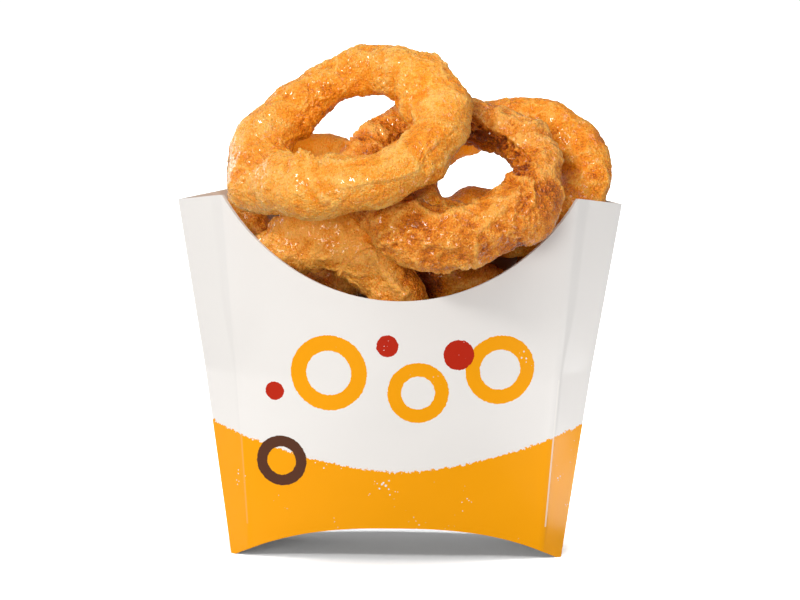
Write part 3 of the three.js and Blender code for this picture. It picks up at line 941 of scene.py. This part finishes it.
# %% Fine grain of fried batter, as a node group
def new_group(name, inputs, outputs):
    """An empty node group. Each input is a number with its usual value, or a place where that is
    None, and each output is a number. Also returned are what the group is given and the node that
    takes what it puts out."""
    group = bpy.data.node_groups.new(name, "ShaderNodeTree")
    for label, usual in inputs.items():
        kind = "NodeSocketVector" if usual is None else "NodeSocketFloat"
        socket = group.interface.new_socket(label, in_out="INPUT", socket_type=kind)
        if usual is not None:
            socket.default_value = usual
    for label in outputs:
        group.interface.new_socket(label, in_out="OUTPUT", socket_type="NodeSocketFloat")
    return group, group.nodes.new("NodeGroupInput").outputs, group.nodes.new("NodeGroupOutput")


fry_grain, given, told = new_group("fry_grain", {"Position": None, "Grain per metre": 900.0},
                                   ["Height", "Specks", "Mottle", "Oil"])


def grain_texture(kind, share, output, **values):
    """One output of a texture that is share times as fine as the group's grain."""
    fineness = times(given["Grain per metre"], share)
    return put(fry_grain, kind, Vector=given["Position"], Scale=fineness, **values).outputs[output]


bubbles = grain_texture("TexVoronoi", 1.7, "Distance", feature="SMOOTH_F1", Smoothness=0.4)
fine = grain_texture("TexNoise", 2.2, "Fac", Detail=5.0, Roughness=0.62)
mottle = grain_texture("TexNoise", 0.5, "Fac", Detail=3.0, Roughness=0.6)
specks = grain_texture("TexNoise", 2.6, "Fac", Detail=2.0, Roughness=0.5)
oil = grain_texture("TexNoise", 1.0, "Fac", Detail=2.0, Roughness=0.5)
pimples = times(minus(1.0, bubbles), 0.55)
give(told, Height=add(pimples, fine), Specks=ease(specks, 0.36, 0.64), Mottle=mottle, Oil=oil)
print("fry_grain has", len(fry_grain.nodes), "nodes")

# %% Crust materials
def blend_colour(share, first, second):
    """Mix two colours by a mask. Each is a colour or another node's output."""
    made = put(share.id_data, "Mix", data_type="RGBA", Factor=share)
    for socket, value in zip((made.inputs[6], made.inputs[7]), (first, second)):
        feed(socket, (*value, 1) if isinstance(value, tuple) else value)
    return made.outputs[2]


def bumped(height, strength, distance):
    """The surface's direction, tilted by a height pattern whose full height is distance, metres."""
    made = put(height.id_data, "Bump", Strength=strength, Distance=distance, Height=height)
    return made.outputs["Normal"]


def crust_material(name, ramp_colours, shift):
    """Fried crust: browning attribute + mottle + specks pick a colour on the ramp; small oily islands are
    smooth, and with the grain's bump they break the lamps into sparks; a film of oil lies on the same
    islands, and a thick one where the oil attribute says so; where the thin attribute says, an orange
    emission paints a glow into the shade. shift makes the whole crust browner; on the deep rings that is
    painted shade."""
    material, shader = new_finish(
        name, Emission_Strength=0.5, Coat_Roughness=0.1, Specular_IOR_Level=0.3, Subsurface_Weight=0.2,
        Subsurface_Radius=(1.0, 0.35, 0.1), Subsurface_Scale=0.0022)
    tree = material.node_tree
    grain = put(tree, "Group", node_tree=fry_grain, Position=put(tree, "TexCoord").outputs["Object"],
                Grain_per_metre=900.0).outputs
    brown, rough, oily, thin = (put(tree, "Attribute", attribute_name=mask).outputs["Fac"]
                                for mask in ("browning_and_shade", "roughness", "oil", "thin"))
    flecks = times(minus(add(grain["Mottle"], grain["Specks"]), 1.0), 0.36)
    ramp = put(tree, "ValToRGB", Fac=add(add(brown, flecks), shift))
    bands = ramp.color_ramp.elements
    while len(bands) < len(ramp_colours):
        bands.new(0.5)
    for band, (position, colour) in zip(bands, ramp_colours):
        band.position, band.color = position, (*colour, 1)
    matt = ease(add(grain["Oil"], times(oily, 0.12)), 0.44, 0.60, 0.48, 0.15)
    film = add(ease(grain["Oil"], 0.46, 0.60, 0.0, 0.75), times(oily, grain["Specks"]))
    # the orange emission from the thin mask is a painted glow, not a lamp
    give(shader, Base_Color=ramp.outputs["Color"], Roughness=add(matt, times(rough, 0.06)),
         Coat_Weight=sums("MINIMUM", film, 1.0), Normal=bumped(grain["Height"], 1.0, 0.0007),
         Emission_Color=blend_colour(thin, (0, 0, 0), (1, 0.30, 0.004)))
    return material


GOLDEN = [(0.05, (0.97, 0.50, 0.11)), (0.30, (0.95, 0.36, 0.025)),
          (0.60, (0.86, 0.24, 0.003)), (0.95, (0.46, 0.09, 0.001))]
BROWN = [(0.05, (0.93, 0.43, 0.08)), (0.30, (0.83, 0.27, 0.014)),
         (0.62, (0.60, 0.145, 0.002)), (0.95, (0.22, 0.038, 0.001))]
crusts = {
    "golden_crust": crust_material("golden_crust", GOLDEN, -0.04),
    "brown_crust": crust_material("brown_crust", BROWN, 0.0),
    # the deep rings: the brown ramp shifted browner, painted shade for the inside of the heap
    "deep_crust": crust_material("deep_crust", BROWN, 0.05),
}
for name, piece in crust_pieces.items():
    piece.data.materials.append(crusts[FINISH.get(name, "deep_crust")])
print("crust materials:", ", ".join(crusts))

# %% [markdown]
# ## Print on the board
# The outside of the sheet is coated white and printed with a deep orange band, flat shapes above
# it, and a thin gloss over all. The ink is laid rough on purpose: its edges are ragged and small
# specks stay bare. Each shape is a mask, worked out from where a point is across and up the panel,
# so nothing slides when the view moves.

# %% Ragged edges, bare specks and round marks, as node groups
ink_wear, given, told = new_group("ink_wear", {"Position": None, "Edge bite": 0.8},
                                  ["Edge shift", "Bare specks"])
bite = put(ink_wear, "TexNoise", Vector=given["Position"], Scale=900.0, Detail=4.0, Roughness=0.7)
sparse = put(ink_wear, "TexNoise", Vector=given["Position"], Scale=95.0, Detail=1.0)
dots = put(ink_wear, "TexVoronoi", Vector=given["Position"], Scale=900.0)
few = times(minus(sparse.outputs["Fac"], 0.56), 1.6)
give(told, Edge_shift=times(minus(bite.outputs["Fac"], 0.5), times(given["Edge bite"], 4.0)),
     Bare_specks=below(dots.outputs["Distance"], few))

round_mark, given, told = new_group(
    "round_mark", {"Across mm": 0.0, "Up mm": 0.0, "Edge shift": 0.0, "Centre across": 0.0,
                   "Centre up": 0.0, "Outer": 5.0, "Inner": 0.0}, ["Mask"])
dx = minus(given["Across mm"], given["Centre across"])
dz = minus(given["Up mm"], given["Centre up"])
away = add(sums("SQRT", add(times(dx, dx), times(dz, dz))), given["Edge shift"])
give(told, Mask=times(below(away, given["Outer"]), above(away, given["Inner"])))
print("ink_wear has", len(ink_wear.nodes), "nodes and round_mark", len(round_mark.nodes))

# %% Board fibres, shared by the coated outside, the plain inside and the cut edge
fibres, given, told = new_group("board_fibres", {"Position": None}, ["Height", "Cloud"])
hairs = put(fibres, "TexNoise", Vector=given["Position"], Scale=1500.0, Detail=4.0, Roughness=0.6)
cloud = put(fibres, "TexNoise", Vector=given["Position"], Scale=60.0, Detail=3.0, Roughness=0.55)
give(told, Height=hairs.outputs["Fac"], Cloud=cloud.outputs["Fac"])
print("board_fibres has", len(fibres.nodes), "nodes")

# %% Where the ink lies
WHITE_COAT, CRACK_AND_HIGHLIGHT_WHITE, ORANGE_INK = (0.86, 0.83, 0.80), (0.97, 0.93, 0.88), (0.95, 0.37, 0.001)
RED_INK, BROWN_INK = (0.50, 0.02, 0.005), (0.10, 0.035, 0.018)
# the band's upper edge: this high in the middle, rising by that much times (distance / reach) ^ power
BAND_HEIGHT, BAND_RISE, BAND_REACH, BAND_POWER = 25.5, 11.5, 53.0, 1.6  # mm
# each round mark: across, up, outer and inner radius, mm, and its ink
ROUND_MARKS = [
    (-19, 53, 10.5, 6.2, ORANGE_INK), (5.5, 48, 8.4, 4.6, ORANGE_INK), (28, 54, 9.6, 5.6, ORANGE_INK),
    (-3, 61, 3.0, 0, RED_INK), (16.5, 58.5, 4.2, 0, RED_INK), (-34, 47, 2.6, 0, RED_INK),
    (-32, 27.5, 7.0, 4.0, BROWN_INK),
]
printed, shader = new_finish("printed_board", Coat_Roughness=0.16, Specular_IOR_Level=0.12)
tree = printed.node_tree
place = put(tree, "TexCoord").outputs["Object"]
wear = put(tree, "Group", node_tree=ink_wear, Position=place, Edge_bite=0.8).outputs
axes = put(tree, "SeparateXYZ", Vector=place).outputs
across_mm, up_mm = times(axes["X"], 1000.0), times(axes["Z"], 1000.0)
from_middle, inked = sums("ABSOLUTE", across_mm), minus(1.0, wear["Bare specks"])
bandline = sums("POWER", sums("DIVIDE", from_middle, BAND_REACH), BAND_POWER)
bandline = add(times(bandline, BAND_RISE), BAND_HEIGHT)
band = below(add(up_mm, wear["Edge shift"]), bandline)
colour = blend_colour(times(band, inked), WHITE_COAT, ORANGE_INK)
for centre_across, centre_up, outer, inner, ink in ROUND_MARKS:
    mark = put(tree, "Group", node_tree=round_mark, Across_mm=across_mm, Up_mm=up_mm,
               Edge_shift=times(wear["Edge shift"], 0.25), Centre_across=centre_across,
               Centre_up=centre_up, Outer=outer, Inner=inner)
    colour = blend_colour(times(mark.outputs["Mask"], inked), colour, ink)
print("printed_board:", len(ROUND_MARKS), "round marks above the band")

# %% [markdown]
# Up to the top of the gusset the score line is creased hard, and a thin white line runs along it there: a
# crack in the coat that shows white, and a painted highlight on the crease, which makes the line much
# stronger on the right. The creases pull the side facets tight, so the varnish lies smooth there and shines;
# mid-panel it is thin. The formula for the score line is the panel's own.

# %% Crack line, painted highlight and varnish of the printed outside
WHITE_LINE_OFF_SCORE, WHITE_LINE_HALF_WIDTH, WHITE_LINE_LOW = 0.1, 0.22, 9.0  # mm
past_score = minus(minus(from_middle, SCORE_FOOT_X),
                   times(up_mm, (EAR_INNER_X - SCORE_FOOT_X) / EAR_INNER_HEIGHT))
crack_and_highlight_line = below(sums("ABSOLUTE", add(past_score, WHITE_LINE_OFF_SCORE)), WHITE_LINE_HALF_WIDTH)
creased = times(below(up_mm, GUSSET_HEIGHT - 1.0), above(up_mm, WHITE_LINE_LOW))
# the white line is a crack in the coat plus a painted highlight; the extra on the right is the painted
# highlight
highlight_stronger_on_right = add(0.08, times(above(across_mm, 0.0), 0.5))
colour = blend_colour(times(times(crack_and_highlight_line, creased), highlight_stronger_on_right), colour, CRACK_AND_HIGHLIGHT_WHITE)
fibre = put(tree, "Group", node_tree=fibres, Position=place).outputs
varnish = times(ease(past_score, -0.6, 0.6, 0.05, 0.9), add(0.8, times(fibre["Cloud"], 0.4)))
give(shader, Base_Color=colour, Roughness=add(0.40, times(fibre["Cloud"], 0.12)), Coat_Weight=varnish,
     Normal=bumped(fibre["Height"], 0.12, 0.00005))
print("printed_board is a tree of", len(tree.nodes), "nodes")

# %% Plain inside and cut edge
def plain_board(name, colour, shade, roughness):
    """Uncoated board: cloudy in colour from thin to thick fibre, matt, with a felt of fine hairs."""
    material, shader = new_finish(name, Roughness=roughness)
    place = put(material.node_tree, "TexCoord").outputs["Object"]
    fibre = put(material.node_tree, "Group", node_tree=fibres, Position=place).outputs
    give(shader, Base_Color=blend_colour(fibre["Cloud"], colour, shade),
         Normal=bumped(fibre["Height"], 0.4, 0.00012))
    return material


for material in (printed, plain_board("plain_inside", (0.84, 0.80, 0.75), (0.76, 0.71, 0.65), 0.75),
                 plain_board("cut_edge", (0.90, 0.88, 0.85), (0.80, 0.77, 0.72), 0.85)):
    carton.data.materials.append(material)
print("carton materials:", [m.name for m in carton.data.materials])

# %% [markdown]
# ## The size of the dressed heap
# The dressed heap must stay the size of the solids, so both boxes are printed side by side.

# %% Size and finish
dressed_box = [list(corner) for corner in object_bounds()]
for label, box in (("solids", solid_box), ("dressed", dressed_box)):
    print(label, "mm:", [round((high - low) * 1000, 1) for low, high in zip(*box)])
